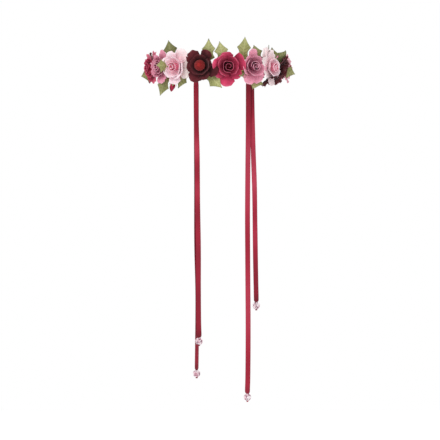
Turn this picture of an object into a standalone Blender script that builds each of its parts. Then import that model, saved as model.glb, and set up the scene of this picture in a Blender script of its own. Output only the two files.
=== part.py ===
"""Flower crown: a taped wire ring carrying paper roses and leaves, with beaded ribbon tails behind.

Metres, +Z up, -Y is the front. The origin is the centre of the ring, in the plane of the wire.
"""

import math

import bmesh
import bpy
from mathutils import Matrix, Vector

MM = 0.001

# Band: a wire ring inside a tube of wound tape.
BAND_RADIUS = 76.0 * MM
WIRE_RADIUS = 1.0 * MM
TAPE_WALL = 1.2 * MM
TAPE_SEAM = 1.6 * MM
BAND_STATIONS = 48
WIRE_SIDES = 6
TAPE_SIDES = 8
FIT_GAP = 0.3 * MM
TAPE_RADIUS = WIRE_RADIUS + FIT_GAP + TAPE_WALL

# Roses: an oval cup of petals with a bud in it, on a green calyx that stands on the band.
ROSE_COLOURS = ("burgundy", "raspberry", "mauve", "pale_pink")
ROSE_COUNT = 11
ROSE_ROW_CENTRE_DEG = 8.5
ROSE_WIDTH = 34.0 * MM
ROSE_HEIGHT = 40.0 * MM
ROSE_DEPTH = 15.0 * MM
ROSE_SIDE_GAP = 2.0 * MM
PETAL_WALL = 1.6 * MM
PETAL_LOBES = 5
LOBE_DEPTH = 0.05
CALYX_LENGTH = 2.5 * MM
CALYX_TOP_RADIUS = 5.5 * MM
CALYX_FOOT_RADIUS = 2.2 * MM
CUP_FLOOR_RADIUS = 4.5 * MM
BUD_RADIUS = 6.4 * MM
SOCKET_CLEARANCE = 0.5 * MM
SOCKET_LIP = 0.8 * MM
SOCKET_FOOT = 0.22
PETAL_FILL = 0.62
CUP_SIDES = 20
BUD_SIDES = 10
CALYX_FOOT = BAND_RADIUS + TAPE_RADIUS + FIT_GAP
ROSE_FOOT = CALYX_FOOT + CALYX_LENGTH + FIT_GAP
ROSE_WIDEST = 0.9

# Leaves: lobed blades on a flat stem that starts at the band.
LEAF_THICKNESS = 0.5 * MM
LEAF_STEM_WIDTH = 1.6 * MM
LEAF_CLEARANCE = 0.9 * MM
# Place along the blade and half width there, as shares of its length and half width.
LEAF_OUTLINE = (
    (0.00, 0.24),
    (0.10, 0.62),
    (0.30, 1.00),
    (0.44, 0.68),
    (0.62, 0.86),
    (0.80, 0.36),
    (1.00, 0.03),
)
# Name: place in the row of roses, turn from upright, lean outwards, roll, fold, then stem, length and width in mm.
LEAVES = {
    "leaf_01": (0.50, 180.0, 72.0, 90.0, 0.00, 3.0, 17.5, 13.0),
    "leaf_02": (2.50, 0.0, 87.0, 90.0, 0.00, 3.0, 15.5, 13.0),
    "leaf_03": (2.50, -6.0, 11.0, 35.0, 0.22, 6.0, 25.0, 17.0),
    "leaf_04": (2.21, 196.0, 12.0, -38.0, 0.22, 6.0, 28.0, 14.0),
    "leaf_05": (3.16, 202.0, 12.0, -22.0, 0.22, 3.0, 24.0, 13.0),
    "leaf_06": (4.26, 0.0, 11.0, 0.0, 0.22, 5.0, 27.0, 16.0),
    "leaf_07": (4.87, -12.0, 13.0, 0.0, 0.22, 3.0, 25.5, 17.0),
    "leaf_08": (3.96, 134.0, 10.0, 0.0, 0.22, 5.0, 29.0, 17.0),
    "leaf_09": (5.70, 3.0, 11.0, -15.0, 0.22, 6.0, 28.5, 18.0),
    "leaf_10": (6.52, -28.0, 12.0, -32.0, 0.22, 3.0, 24.0, 15.0),
    "leaf_11": (6.78, 218.0, 12.0, 40.0, 0.22, 4.0, 27.0, 15.0),
    "leaf_12": (7.39, -24.0, 14.0, -42.0, 0.22, 3.0, 22.0, 15.0),
    "leaf_13": (7.81, 16.0, 24.0, -18.0, 0.22, 3.0, 20.0, 14.0),
    "leaf_14": (8.50, 180.0, 70.0, 90.0, 0.00, 3.0, 18.0, 13.0),
}

# A small rosebud that hangs from the band, at a place in the row and tilted along the band in degrees.
HANGING_BUD_PLACE = 2.72
HANGING_BUD_TILT = -14.0
HANGING_BUD_STEM = 16.5 * MM
HANGING_BUD_LENGTH = 13.0 * MM
HANGING_BUD_RADIUS = 3.6 * MM
HANGING_STEM_RADIUS = 0.8 * MM

# Ribbons: a knot round the band for each pair of tails, and a bead on each tail's gathered end.
RIBBON_WIDTH = 6.5 * MM
RIBBON_THICKNESS = 0.4 * MM
RIBBON_STEP = 15.0 * MM
KNOT_LENGTH = 4.5 * MM
KNOT_WALL = 1.5 * MM
KNOT_CLEARANCE = 0.8 * MM
KNOT_DEPTH = 6.0 * MM
KNOT_DROP = 10.0 * MM
KNOT_SIDES = 12
GATHER_LENGTH = 4.0 * MM
NECK_WIDTH = 1.6 * MM
NECK_THICKNESS = 1.2 * MM
END_KNOT_WIDTH = 3.4 * MM
END_KNOT_LENGTH = 2.4 * MM
BEAD_RADIUS = 4.9 * MM
BEAD_HEIGHT = 10.4 * MM
BEAD_BORE_RADIUS = 1.35 * MM
BEAD_SIDES = 8

# Share of the bare stretch of band behind the roses, from its +X end, where each knot is tied.
KNOT_PLACES = {"right": 0.206, "left": 0.592}

# Each tail hangs from its knot by these points: across, back and height in mm, and the ribbon's turn in degrees.
TAIL_ROUTES = {
    "left_short_tail": (
        (-0.2, -1.2, -12.0, 0.0),
        (0.3, -1.4, -70.0, 0.0),
        (1.4, -1.8, -110.0, 0.0),
        (1.9, -2.4, -170.0, 0.0),
        (2.9, -3.0, -230.0, 0.0),
        (2.9, -3.5, -280.0, 0.0),
        (3.2, -3.9, -320.0, 8.0),
        (3.8, -4.1, -345.0, 12.0),
    ),
    "left_long_tail": (
        (0.0, 1.2, -12.0, 0.0),
        (0.3, 1.5, -80.0, 0.0),
        (0.6, 2.2, -150.0, 10.0),
        (0.4, 3.0, -226.0, 28.0),
        (1.6, 3.9, -290.0, 38.0),
        (1.0, 4.6, -355.0, 42.0),
        (0.6, 4.8, -387.0, 42.0),
    ),
    "right_long_tail": (
        (-2.1, -1.2, -12.0, 0.0),
        (-2.2, -1.2, -70.0, 0.0),
        (-2.8, -1.2, -130.0, 0.0),
        (-3.2, -1.2, -190.0, 0.0),
        (-2.9, -1.2, -250.0, 0.0),
        (-2.4, -1.2, -330.0, 0.0),
        (-2.7, -1.2, -390.0, 0.0),
        (-3.3, -1.2, -417.0, 0.0),
    ),
    "right_short_tail": (
        (2.1, 1.2, -12.0, 0.0),
        (2.9, 1.2, -58.0, 0.0),
        (4.2, 1.2, -105.0, 8.0),
        (5.8, 1.2, -150.0, 14.0),
        (6.5, 1.2, -200.0, 14.0),
        (7.2, 1.2, -250.0, 14.0),
        (8.1, 1.2, -299.0, 14.0),
    ),
}
PAIRS = {
    "left": ("left_short_tail", "left_long_tail"),
    "right": ("right_long_tail", "right_short_tail"),
}

# Colour, roughness and metallic value of each material.
MATERIALS = {
    "burgundy": ((0.075, 0.010, 0.016), 0.85, 0.0),
    "burgundy_bud": ((0.260, 0.014, 0.014), 0.80, 0.0),
    "raspberry": ((0.520, 0.045, 0.110), 0.80, 0.0),
    "raspberry_bud": ((0.300, 0.012, 0.040), 0.80, 0.0),
    "mauve": ((0.600, 0.210, 0.310), 0.80, 0.0),
    "mauve_bud": ((0.480, 0.120, 0.210), 0.80, 0.0),
    "pale_pink": ((0.820, 0.600, 0.660), 0.80, 0.0),
    "pale_pink_bud": ((0.780, 0.330, 0.430), 0.80, 0.0),
    "leaf": ((0.330, 0.350, 0.130), 0.75, 0.0),
    "calyx": ((0.180, 0.220, 0.060), 0.80, 0.0),
    "tape": ((0.210, 0.220, 0.090), 0.85, 0.0),
    "wire": ((0.420, 0.420, 0.420), 0.35, 1.0),
    "ribbon": ((0.330, 0.016, 0.042), 0.35, 0.0),
    "bead": ((0.860, 0.560, 0.620), 0.08, 0.0),
}


def clear_scene():
    for thing in list(bpy.data.objects):
        bpy.data.objects.remove(thing, do_unlink=True)


def make_materials():
    made = {}
    for name, (colour, roughness, metallic) in MATERIALS.items():
        material = bpy.data.materials.new(name)
        material.use_nodes = True
        shader = material.node_tree.nodes["Principled BSDF"]
        shader.inputs["Base Color"].default_value = (*colour, 1.0)
        shader.inputs["Roughness"].default_value = roughness
        shader.inputs["Metallic"].default_value = metallic
        made[name] = material
    return made


def loft(sections, looped=False, cut=False):
    """Skins equal rings of points, capping both ends unless the last ring joins the first.

    Rings of cut sections stand half a side apart in turn, and are joined by triangles.
    """
    mesh = bmesh.new()
    rings = [[mesh.verts.new(point) for point in section] for section in sections]
    sides = len(rings[0])
    pairs = list(zip(rings, rings[1:]))
    if looped:
        pairs.append((rings[-1], rings[0]))
    for step, (low, high) in enumerate(pairs):
        for i in range(sides):
            j = (i + 1) % sides
            if not cut:
                mesh.faces.new((low[i], low[j], high[j], high[i]))
            elif step % 2:
                mesh.faces.new((low[i], low[j], high[i]))
                mesh.faces.new((low[j], high[j], high[i]))
            else:
                mesh.faces.new((low[i], high[j], high[i]))
                mesh.faces.new((low[i], low[j], high[j]))
    if not looped:
        mesh.faces.new(rings[0])
        mesh.faces.new(rings[-1])
    bmesh.ops.recalc_face_normals(mesh, faces=mesh.faces)
    return mesh


def add_object(name, mesh, material, placing=None, smooth=True):
    """Makes a named object of a bmesh, placed by its location and rotation."""
    data = bpy.data.meshes.new(name)
    mesh.to_mesh(data)
    mesh.free()
    data.materials.append(material)
    if smooth:
        data.shade_smooth()
        data.set_sharp_from_angle(angle=math.radians(40))
    thing = bpy.data.objects.new(name, data)
    if placing is not None:
        thing.location = placing.to_translation()
        thing.rotation_euler = placing.to_euler()
    bpy.context.scene.collection.objects.link(thing)
    return thing


def circle(radius, sides, height=0.0, phase=0.0):
    step = 2 * math.pi / sides
    return [
        Vector((radius * math.cos(phase + i * step), radius * math.sin(phase + i * step), height))
        for i in range(sides)
    ]


def on_band(angle, radius=BAND_RADIUS, height=0.0):
    """A frame on the ring: its X along the band, its Y up and its Z outwards. The angle runs from the front to +X."""
    along = Vector((math.cos(angle), math.sin(angle), 0.0))
    up = Vector((0.0, 0.0, 1.0))
    out = along.cross(up)
    frame = Matrix((along, up, out)).transposed().to_4x4()
    frame.translation = radius * out + height * up
    return frame


def rose_step():
    """The angle between neighbouring roses, which stand side by side where they are widest."""
    reach = ROSE_FOOT + ROSE_WIDEST * ROSE_DEPTH
    return 2 * math.asin((ROSE_WIDTH + ROSE_SIDE_GAP) / 2 / reach)


def row_angle(place):
    """The angle of a place in the row of roses, where whole numbers are roses."""
    return math.radians(ROSE_ROW_CENTRE_DEG) + (place - (ROSE_COUNT - 1) / 2) * rose_step()


def knot_angle(side):
    first, last = row_angle(0), row_angle(ROSE_COUNT - 1)
    bare = 2 * math.pi - (last - first)
    return last + KNOT_PLACES[side] * bare


# ---- band ----


def band_section(angle, radius, sides):
    frame = on_band(angle)
    return [frame @ Vector((0.0, p.x, p.y)) for p in circle(radius, sides, phase=math.pi / sides)]


def add_band(materials):
    """The closed wire ring, and the tape round it, which starts and ends under the left ribbon's knot."""
    seam = knot_angle("left")
    step = 2 * math.pi / BAND_STATIONS
    ring = [seam + i * step for i in range(BAND_STATIONS)]
    wire = loft([band_section(a, WIRE_RADIUS, WIRE_SIDES) for a in ring], looped=True)
    add_object("band_wire", wire, materials["wire"])
    half_seam = TAPE_SEAM / 2 / BAND_RADIUS
    stations = [seam + half_seam, *ring[1:], seam + 2 * math.pi - half_seam]
    outer = TAPE_RADIUS
    inner = (WIRE_RADIUS + FIT_GAP) / math.cos(math.pi / TAPE_SIDES)
    sections = [band_section(a, outer, TAPE_SIDES) for a in stations]
    sections += [band_section(a, inner, TAPE_SIDES) for a in reversed(stations)]
    add_object("band_tape", loft(sections, looped=True), materials["tape"])


# ---- roses ----


def lobed_ring(radius, height, lobes, sides=CUP_SIDES, stretch=1.0):
    """A ring in the rose's own frame, drawn out upwards and waved by the petals."""
    ring = []
    for point in circle(radius, sides, height):
        angle = math.atan2(point.y, point.x)
        swell = 1 + lobes * LOBE_DEPTH * (math.cos(PETAL_LOBES * angle) - 1) / 2
        ring.append(Vector((point.x * swell, point.y * swell * stretch, height)))
    return ring


def petal_cup():
    """A cup whose rim is one petal thick, packed with petals up to a socket that holds the bud."""
    half = ROSE_WIDTH / 2
    stretch = ROSE_HEIGHT / ROSE_WIDTH
    socket = BUD_RADIUS + SOCKET_CLEARANCE
    outside = ((0.55, 0.14, 0.2), (0.82, 0.40, 0.6), (0.96, 0.68, 0.9), (1.0, ROSE_WIDEST, 1.0))
    inside = ((0.96, 0.80, 0.9), (0.82, 0.70, 0.6))
    rings = [lobed_ring(CUP_FLOOR_RADIUS, 0.0, 0.0)]
    rings += [lobed_ring(half * r, ROSE_DEPTH * h, lobes, stretch=stretch) for r, h, lobes in outside]
    rings.append(lobed_ring(half - PETAL_WALL / 2, ROSE_DEPTH, 1.0, stretch=stretch))
    rings.append(lobed_ring(half - PETAL_WALL, ROSE_DEPTH * 0.93, 1.0, stretch=stretch))
    for r, h, lobes in inside:
        rings.append(lobed_ring(half * r - PETAL_WALL, ROSE_DEPTH * h, lobes, stretch=stretch))
    rings.append(lobed_ring(socket + SOCKET_LIP, ROSE_DEPTH * PETAL_FILL, 0.0))
    rings.append(lobed_ring(socket, ROSE_DEPTH * (PETAL_FILL - 0.04), 0.0))
    rings.append(lobed_ring(socket, ROSE_DEPTH * SOCKET_FOOT, 0.0))
    rings.append(lobed_ring(CUP_FLOOR_RADIUS - PETAL_WALL / 2, PETAL_WALL, 0.0))
    return loft(rings)


def rose_bud():
    foot = PETAL_WALL + FIT_GAP
    rise = ROSE_DEPTH - foot
    profile = ((0.50, 0.0), (0.90, 0.28), (1.0, 0.58), (0.80, 0.86), (0.34, 1.0))
    return loft([circle(BUD_RADIUS * r, BUD_SIDES, foot + rise * h) for r, h in profile])


def rose_calyx():
    profile = ((CALYX_FOOT_RADIUS, 0.0), (CALYX_FOOT_RADIUS, 0.3), (CALYX_TOP_RADIUS, 0.85), (CALYX_TOP_RADIUS, 1.0))
    return loft([circle(r, BUD_SIDES, CALYX_LENGTH * h) for r, h in profile])


def add_roses(materials):
    for i in range(ROSE_COUNT):
        colour = ROSE_COLOURS[i % len(ROSE_COLOURS)]
        name = f"rose_{i + 1:02d}"
        angle = row_angle(i)
        add_object(f"{name}_calyx", rose_calyx(), materials["calyx"], on_band(angle, CALYX_FOOT))
        add_object(f"{name}_petals", petal_cup(), materials[colour], on_band(angle, ROSE_FOOT))
        add_object(f"{name}_bud", rose_bud(), materials[f"{colour}_bud"], on_band(angle, ROSE_FOOT))


# ---- leaves ----


def leaf_blade(stem, length, width, fold):
    """A folded blade along +Y with its face to +Z, whose stem starts at the origin."""
    half = LEAF_THICKNESS / 2
    stations = [(0.0, LEAF_STEM_WIDTH / 2)]
    stations += [(stem + length * y, width / 2 * w) for y, w in LEAF_OUTLINE]
    sections = []
    for y, w in stations:
        edge = -fold * (w - LEAF_STEM_WIDTH / 2) if w > LEAF_STEM_WIDTH / 2 else 0.0
        upper = [Vector((-w, y, edge + half)), Vector((0.0, y, half)), Vector((w, y, edge + half))]
        lower = [Vector((w, y, edge - half)), Vector((0.0, y, -half)), Vector((-w, y, edge - half))]
        sections.append(upper + lower)
    return loft(sections)


def leaf_placing(place, turn, lean, roll):
    """Stands a blade on the band's surface, with +Y along the leaf."""
    band = on_band(row_angle(place))
    turn, lean, roll = (math.radians(angle) for angle in (turn, lean, roll))
    aim = Vector((math.sin(turn) * math.cos(lean), math.cos(turn) * math.cos(lean), math.sin(lean)))
    seat = Vector((0.0, aim.y, aim.z)).normalized() * (TAPE_RADIUS + LEAF_CLEARANCE)
    across = aim.cross(Vector((0.0, 0.0, 1.0)))
    face = across.cross(aim).normalized()
    across = aim.cross(face)
    blade = Matrix((across, aim, face)).transposed().to_4x4()
    blade.translation = seat
    return band @ blade @ Matrix.Rotation(roll, 4, "Y")


def add_leaves(materials):
    for name, (place, turn, lean, roll, fold, stem, length, width) in LEAVES.items():
        blade = leaf_blade(stem * MM, length * MM, width * MM, fold)
        add_object(name, blade, materials["leaf"], leaf_placing(place, turn, lean, roll))


def add_hanging_bud(materials):
    stem = ((HANGING_STEM_RADIUS, 0.0), (HANGING_STEM_RADIUS, HANGING_BUD_STEM))
    closed = ((0.45, 0.05), (1.0, 0.35), (0.85, 0.65), (0.15, 1.0))
    rings = [circle(r, BUD_SIDES, h) for r, h in stem]
    for r, h in closed:
        rings.append(circle(HANGING_BUD_RADIUS * r, BUD_SIDES, HANGING_BUD_STEM + HANGING_BUD_LENGTH * h))
    seat = Matrix.Translation((0.0, -TAPE_RADIUS - FIT_GAP, 0.0))
    hang = Matrix.Rotation(math.radians(HANGING_BUD_TILT), 4, "Z") @ Matrix.Rotation(math.radians(90), 4, "X")
    placing = on_band(row_angle(HANGING_BUD_PLACE)) @ seat @ hang
    add_object("hanging_rosebud", loft(rings), materials["raspberry"], placing)


# ---- ribbons and beads ----


def knot_width(side):
    reach = [abs(TAIL_ROUTES[tail][0][0]) * MM for tail in PAIRS[side]]
    return RIBBON_WIDTH + 2 * max(reach)


def knot_bore(side):
    """The radius of a sleeve that lies along X and clears the slanting band over its whole length."""
    slant = math.acos(abs(math.cos(knot_angle(side))))
    return TAPE_RADIUS / math.cos(slant) + KNOT_LENGTH / 2 * math.tan(slant) + KNOT_CLEARANCE


def add_knot(side, materials):
    """A sleeve of ribbon looped round the band, joined to the knot that hangs below it."""
    placing = Matrix.Translation(on_band(knot_angle(side)).to_translation())
    corner = 1 / math.cos(math.pi / KNOT_SIDES)
    bore = knot_bore(side)
    outer = (bore + KNOT_WALL) * corner
    half = KNOT_LENGTH / 2
    rings = []
    for radius, x in ((outer, -half), (outer, half), (bore * corner, half), (bore * corner, -half)):
        rings.append([Vector((x, p.x, p.y)) for p in circle(radius, KNOT_SIDES)])
    sleeve = add_object(f"{side}_ribbon_knot", loft(rings, looped=True), materials["ribbon"], placing)
    top = -(bore + KNOT_WALL * 0.6)
    size = Vector((knot_width(side), KNOT_DEPTH, KNOT_DROP + top))
    lump = bmesh.new()
    bmesh.ops.create_cube(lump, size=1.0)
    bmesh.ops.scale(lump, vec=size, verts=lump.verts)
    upright = [e for e in lump.edges if abs(e.verts[0].co.z - e.verts[1].co.z) > size.z / 2]
    bmesh.ops.bevel(lump, geom=upright, offset=KNOT_DEPTH / 4, segments=2, profile=0.5, affect="EDGES")
    drop = Matrix.Translation((0.0, 0.0, -KNOT_DROP + size.z / 2))
    guide = add_object(f"{side}_knot_lump", lump, materials["ribbon"], placing @ drop)
    guide.hide_render = True
    guide.display_type = "WIRE"
    union = sleeve.modifiers.new("lump", "BOOLEAN")
    union.operation = "UNION"
    union.object = guide


def smooth_route(points):
    """A curve through the points, as places and turns a ribbon step apart."""
    ends = [2 * points[0] - points[1], *points, 2 * points[-1] - points[-2]]
    route = []
    for before, start, stop, after in zip(ends, ends[1:], ends[2:], ends[3:]):
        steps = max(1, round((stop - start).xyz.length / RIBBON_STEP))
        for i in range(steps):
            t = i / steps
            route.append(
                start
                + t * (stop - before) / 2
                + t * t * (before - 2.5 * start + 2 * stop - after / 2)
                + t * t * t * (3 * start - before - 3 * stop + after) / 2
            )
    return [*route, points[-1]]


def ribbon_section(place, turn, width, thickness):
    across = Vector((math.cos(turn), math.sin(turn), 0.0)) * width / 2
    through = Vector((-math.sin(turn), math.cos(turn), 0.0)) * thickness / 2
    return [place - across - through, place + across - through, place + across + through, place - across + through]


def tail_points(tail):
    """A tail's route below its knot, as place and turn, ending where the bead's top is."""
    return [Vector((x * MM, y * MM, z * MM, math.radians(turn))) for x, y, z, turn in TAIL_ROUTES[tail]]


def add_tail(side, tail, materials):
    """A flat ribbon from the knot to its bead, gathered through the bead's bore and knotted below it."""
    knot = on_band(knot_angle(side)).to_translation()
    points = tail_points(tail)
    points[0].z = -KNOT_DROP - FIT_GAP
    end = points[-1]
    gather = end.copy()
    gather.z += GATHER_LENGTH
    sections = []
    for point in smooth_route([*points[:-1], gather]):
        sections.append(ribbon_section(knot + point.xyz, point.w, RIBBON_WIDTH, RIBBON_THICKNESS))
    bead_foot = -BEAD_HEIGHT - FIT_GAP
    below = (
        (GATHER_LENGTH * 0.45, RIBBON_WIDTH * 0.6, NECK_THICKNESS * 0.8),
        (FIT_GAP, NECK_WIDTH, NECK_THICKNESS),
        (bead_foot, NECK_WIDTH, NECK_THICKNESS),
        (bead_foot - END_KNOT_LENGTH * 0.25, END_KNOT_WIDTH, END_KNOT_WIDTH),
        (bead_foot - END_KNOT_LENGTH * 0.75, END_KNOT_WIDTH, END_KNOT_WIDTH),
        (bead_foot - END_KNOT_LENGTH, NECK_WIDTH, NECK_THICKNESS),
    )
    for drop, width, thickness in below:
        place = knot + end.xyz + Vector((0.0, 0.0, drop))
        sections.append(ribbon_section(place, end.w, width, thickness))
    add_object(f"{tail}", loft(sections), materials["ribbon"])
    add_bead(tail.replace("tail", "bead"), knot + end.xyz, materials)


def add_bead(name, top, materials):
    """A cut bead hung by its bore, its origin on the bore's axis."""
    half = BEAD_HEIGHT / 2
    bore = BEAD_BORE_RADIUS / math.cos(math.pi / BEAD_SIDES)
    outside = ((0.52, 1.0), (0.90, 0.52), (1.0, 0.0), (0.90, -0.52), (0.52, -1.0))
    turn = math.pi / BEAD_SIDES
    rings = [circle(bore, BEAD_SIDES, half)]
    rings += [circle(BEAD_RADIUS * r, BEAD_SIDES, half * h, turn * (i % 2)) for i, (r, h) in enumerate(outside)]
    rings.append(circle(bore, BEAD_SIDES, -half))
    placing = Matrix.Translation(top - Vector((0.0, 0.0, half)))
    add_object(name, loft(rings, looped=True, cut=True), materials["bead"], placing, smooth=False)


def add_ribbons(materials):
    for side, tails in PAIRS.items():
        add_knot(side, materials)
        for tail in tails:
            add_tail(side, tail, materials)


def build():
    clear_scene()
    materials = make_materials()
    add_band(materials)
    add_roses(materials)
    add_leaves(materials)
    add_hanging_bud(materials)
    add_ribbons(materials)


build()
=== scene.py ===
"""Flower crown: paper roses and lobed leaves on a taped wire ring, with beaded satin ribbon tails behind.

Metres, +Z up, -Y is the front. The origin is the centre of the ring. Sizes written in mm are scaled once, where
a piece is made.
"""

import math
import random

import bpy
import numpy as np
from mathutils import Matrix, Vector, noise


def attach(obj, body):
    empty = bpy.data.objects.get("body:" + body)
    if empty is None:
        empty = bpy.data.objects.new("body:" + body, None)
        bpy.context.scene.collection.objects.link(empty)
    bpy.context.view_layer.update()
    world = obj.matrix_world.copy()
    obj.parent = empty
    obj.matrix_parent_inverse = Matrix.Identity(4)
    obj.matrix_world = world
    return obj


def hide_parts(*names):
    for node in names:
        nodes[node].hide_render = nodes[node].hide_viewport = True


MM = 0.001

# Camera: level, and a long way off, so that the front and the back of the ring line up.
CAMERA_PLACE = (2.9 * MM, -6.0, -193.7 * MM)
CAMERA_LENS = 384.4
FLOOR = -560.0 * MM
FLOOR_REACH = 3.0
KEY_PLACE = (-1.6, -2.4, 1.9)
FILL_PLACE = (1.8, 2.2, 1.4)
LIGHT_AIM = (0.0, 0.0, -0.1)

BAND_RADIUS = 76.0
TAPE_RADIUS = 2.5
ROSE_FOOT = 81.6

PAPER = 0.35

# Ribbons: the same sizes and route points as the CAD model.
RIBBON_WIDTH = 6.5
RIBBON_THICKNESS = 0.35
RIBBON_STEP = 2.5
KNOT_DROP = 10.0
KNOT_DEPTH = 6.0
GATHER_LENGTH = 4.0
NECK_WIDTH = 1.6
NECK_THICKNESS = 1.2
END_KNOT_WIDTH = 3.4
END_KNOT_LENGTH = 2.4
BEAD_HEIGHT = 10.4
BEAD_RADIUS = 4.9
BEAD_BORE = 1.3
BEAD_SIDES = 12

# Each tail hangs from its knot by these points: across, back and height in mm, and the ribbon's turn in degrees.
TAIL_ROUTES = {
    "left_short_tail": (
        (-0.2, -1.2, -10.3, 0), (0.3, -1.4, -70, 0), (1.4, -1.8, -110, 0), (1.9, -2.4, -170, 0),
        (2.9, -3, -230, 0), (2.9, -3.5, -280, 0), (3.2, -3.9, -320, 8), (3.8, -4.1, -345, 12),
    ),
    "left_long_tail": (
        (0, 1.2, -10.3, 0), (0.3, 1.5, -80, 0), (0.6, 2.2, -150, 10), (0.4, 3, -226, 28), (1.6, 3.9, -290, 38),
        (1, 4.6, -355, 42), (0.6, 4.8, -387, 42),
    ),
    "right_long_tail": (
        (-2.1, -1.2, -10.3, 0), (-2.2, -1.2, -70, 0), (-2.8, -1.2, -130, 0), (-3.2, -1.2, -190, 0),
        (-2.9, -1.2, -250, 0), (-2.4, -1.2, -330, 0), (-2.7, -1.2, -390, 0), (-3.3, -1.2, -417, 0),
    ),
    "right_short_tail": (
        (2.1, 1.2, -10.3, 0), (2.9, 1.2, -58, 0), (4.2, 1.2, -105, 8), (5.8, 1.2, -150, 14),
        (6.5, 1.2, -200, 14), (7.2, 1.2, -250, 14), (8.1, 1.2, -299, 14),
    ),
}
PAIRS = {
    "left": ("left_short_tail", "left_long_tail"),
    "right": ("right_long_tail", "right_short_tail"),
}
# How each tail ripples: depth in mm, twist in degrees, length of a ripple in mm and where it starts.
RIPPLES = {
    "left_short_tail": (0.9, 7.0, 56.0, 0.4),
    "left_long_tail": (0.5, 1.0, 90.0, 2.0),
    "right_long_tail": (0.4, 2.0, 160.0, 1.0),
    "right_short_tail": (0.5, 4.0, 80.0, 0.2),
}

# Painted shade and painted highlight down each tail, where the satin lies in shadow or catches the light: distance
# below the band in mm, and tone.
TAIL_PAINTED_SHADE_AND_HIGHLIGHT = {
    "left_short_tail": ((20, 0.72), (95, 1.02), (180, 0.88), (335, 0.70)),
    "left_long_tail": ((20, 0.45), (250, 0.62), (380, 0.75)),
    "right_long_tail": ((20, 0.45), (70, 1.05), (100, 1.20), (140, 1.02)),
    "right_short_tail": ((20, 0.45), (95, 1.25), (200, 1.00), (295, 0.62)),
}

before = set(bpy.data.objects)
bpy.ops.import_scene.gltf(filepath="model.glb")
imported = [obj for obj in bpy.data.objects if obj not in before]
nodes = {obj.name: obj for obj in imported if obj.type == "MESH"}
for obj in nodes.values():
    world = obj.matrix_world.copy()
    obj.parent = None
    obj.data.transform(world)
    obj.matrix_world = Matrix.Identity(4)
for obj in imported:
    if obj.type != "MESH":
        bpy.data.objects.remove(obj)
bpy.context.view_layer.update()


# ---- camera ----


def make_camera():
    data = bpy.data.cameras.new("camera")
    data.lens = CAMERA_LENS
    data.clip_end = 50.0
    camera = bpy.data.objects.new("camera", data)
    camera.location = CAMERA_PLACE
    camera.rotation_euler = (math.radians(90), 0.0, 0.0)
    bpy.context.scene.collection.objects.link(camera)
    bpy.context.scene.camera = camera


make_camera()


# ---- colours and materials ----


def srgb(red, green, blue):
    """A colour as the screen shows it, 0 to 255, in linear light."""
    return np.array([((c / 255 + 0.055) / 1.055) ** 2.4 if c > 10 else c / 255 / 12.92 for c in (red, green, blue)])


# Petal colours: painted shade deep in the folds, the open face and the rim.
PALETTES = {
    "burgundy": (srgb(24, 4, 7), srgb(88, 28, 35), srgb(110, 47, 54)),
    "raspberry": (srgb(120, 18, 46), srgb(190, 58, 92), srgb(224, 126, 152)),
    "mauve": (srgb(170, 92, 116), srgb(216, 140, 162), srgb(234, 184, 198)),
    "pale_pink": (srgb(236, 182, 196), srgb(246, 220, 228), srgb(254, 242, 245)),
}
# Colours of the middles: painted shade down in the roll and in the grooves between pleats, the open face and the upper
# edge.
BUD_PALETTES = {
    "burgundy": (srgb(64, 4, 8), srgb(150, 26, 28), srgb(174, 48, 44)),
    "raspberry": (srgb(84, 4, 22), srgb(168, 38, 70), srgb(218, 104, 134)),
    "mauve": (srgb(130, 60, 84), srgb(206, 126, 150), srgb(236, 186, 202)),
    "pale_pink": (srgb(220, 122, 144), srgb(244, 180, 196), srgb(252, 226, 234)),
}
CREAM = srgb(226, 214, 208)
FADED_PINK = srgb(232, 176, 190)
LEAF_DARK = srgb(126, 130, 70)
LEAF_LIGHT = srgb(184, 184, 130)
LEAF_EDGE = srgb(112, 114, 92)
LEAF_RIB = srgb(200, 200, 146)
STEM_GREEN = srgb(112, 118, 56)
SEPAL_DARK = srgb(104, 112, 48)


def start_material(name):
    material = bpy.data.materials.new(name)
    material.use_nodes = True
    tree = material.node_tree
    return material, tree, tree.nodes["Principled BSDF"]


def add_node(tree, kind, **values):
    node = tree.nodes.new(kind)
    for key, value in values.items():
        if key in node.inputs:
            node.inputs[key].default_value = value
        else:
            setattr(node, key, value)
    return node


def object_place(tree):
    return add_node(tree, "ShaderNodeTexCoord").outputs["Object"]


def set_inputs(shader, values):
    for key, value in values.items():
        shader.inputs[key].default_value = value


def painted(tree):
    """The colour painted on the mesh."""
    return add_node(tree, "ShaderNodeAttribute", attribute_name="paint").outputs["Color"]


def mottle(tree, place, paint, scale, amount):
    """Varies a painted colour's strength with soft noise."""
    cloud = add_node(tree, "ShaderNodeTexNoise", Scale=scale, Detail=5.0, Roughness=0.6)
    spread = add_node(tree, "ShaderNodeMapRange")
    set_inputs(spread, {"From Min": 0.3, "From Max": 0.7, "To Min": 1.0 - amount, "To Max": 1.0 + amount})
    dye = add_node(tree, "ShaderNodeMix", data_type="RGBA", blend_type="MULTIPLY")
    dye.inputs["Factor"].default_value = 1.0
    tree.links.new(place, cloud.inputs["Vector"])
    tree.links.new(cloud.outputs["Fac"], spread.inputs["Value"])
    tree.links.new(paint, dye.inputs["A"])
    tree.links.new(spread.outputs["Result"], dye.inputs["B"])
    return dye.outputs["Result"]


def add_relief(tree, shader, height, strength, distance):
    relief = add_node(tree, "ShaderNodeBump", Strength=strength, Distance=distance)
    tree.links.new(height, relief.inputs["Height"])
    tree.links.new(relief.outputs["Normal"], shader.inputs["Normal"])


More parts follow.
